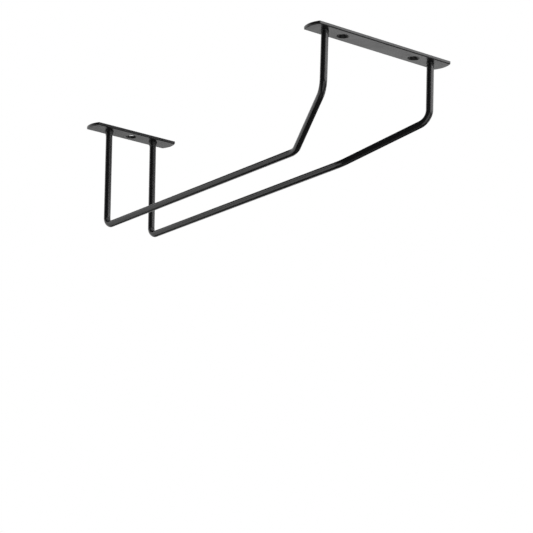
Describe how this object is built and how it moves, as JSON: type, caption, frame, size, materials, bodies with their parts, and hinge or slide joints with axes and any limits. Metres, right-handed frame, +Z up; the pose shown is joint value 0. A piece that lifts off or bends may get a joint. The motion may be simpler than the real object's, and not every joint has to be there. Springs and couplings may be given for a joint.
{
  "type": "hanging wine glass rack",
  "caption": "Under-shelf rack of bent steel rods welded to screw-on plates; stemmed glasses slide in foot-up through its flared front and hang between the rails.",
  "frame": {"origin": "middle of the front plate's top face, in the plane that lies against the shelf", "axes": "+X across the rack, to the right as seen from its open front; +Y from the open front to the rear posts, along the rails; +Z up, towards the shelf"},
  "size_m": [0.1086, 0.2734, 0.072],
  "materials": {
    "plate_coat": "satin black powder coat with a very fine grain",
    "rod_coat": "satin black powder coat, a little glossier round the rod",
    "weld_coat": "satin black powder coat over a lumpy weld"
  },
  "bodies": {
    "root": {"front_plate": "plate_coat", "rear_plate": "plate_coat", "left_rail": "rod_coat", "right_rail": "rod_coat", "front_left_weld": "weld_coat", "front_right_weld": "weld_coat", "rear_left_weld": "weld_coat", "rear_right_weld": "weld_coat"}
  },
  "joints": []
}
